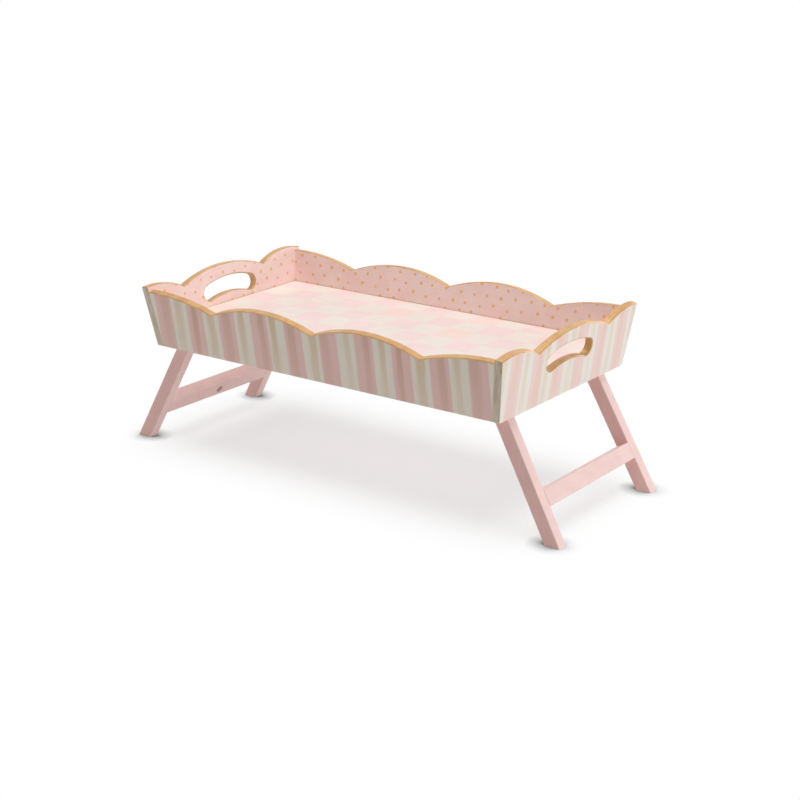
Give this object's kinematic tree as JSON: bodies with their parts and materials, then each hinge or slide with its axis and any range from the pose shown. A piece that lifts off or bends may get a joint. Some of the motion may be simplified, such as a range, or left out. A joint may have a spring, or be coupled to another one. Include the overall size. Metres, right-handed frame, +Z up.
{
  "type": "bed tray table",
  "caption": "Rectangular wooden bed tray with flared scalloped walls and hand holes, on leg frames that fold flat under its deck.",
  "frame": {"origin": "on the floor, under the middle of the tray", "axes": "+X along the tray to its right end, +Y to its back, +Z up"},
  "size_m": [0.768, 0.3464, 0.2605],
  "materials": {
    "painted_walls": "painted stripes, spots and gold edges, satin varnish",
    "painted_deck": "painted checks, satin varnish",
    "painted_blocks": "matt paint",
    "painted_legs": "satin paint",
    "screw_steel": "zinc plated",
    "washer_steel": "zinc plated",
    "magnet": "nickel plated",
    "strike_steel": "bronzed",
    "dowel_wood": "bare beech"
  },
  "bodies": {
    "tray": {"front_wall": "painted_walls", "back_wall": "painted_walls", "left_end_wall": "painted_walls", "right_end_wall": "painted_walls", "deck_panel": "painted_deck", "front_left_pivot_block": "painted_blocks", "back_left_pivot_block": "painted_blocks", "left_pivot_screws": "screw_steel", "left_pivot_washers": "washer_steel", "left_catch_magnet": "magnet", "front_right_pivot_block": "painted_blocks", "back_right_pivot_block": "painted_blocks", "right_pivot_screws": "screw_steel", "right_pivot_washers": "washer_steel", "right_catch_magnet": "magnet"},
    "left_leg_frame": {"front_left_leg": "painted_legs", "back_left_leg": "painted_legs", "left_stretcher": "painted_legs", "left_strike_disc": "strike_steel", "left_stretcher_dowels": "dowel_wood"},
    "right_leg_frame": {"front_right_leg": "painted_legs", "back_right_leg": "painted_legs", "right_stretcher": "painted_legs", "right_strike_disc": "strike_steel", "right_stretcher_dowels": "dowel_wood"}
  },
  "joints": [
    {"name": "left_leg_fold", "type": "hinge", "parent": "tray", "child": "left_leg_frame", "pos_m": [-0.27177, 0, 0.1808], "axis": [0, -1, 0], "range_deg": [0, 119]},
    {"name": "right_leg_fold", "type": "hinge", "parent": "tray", "child": "right_leg_frame", "pos_m": [0.27177, 0, 0.1808], "axis": [0, 1, 0], "range_deg": [0, 119]}
  ]
}
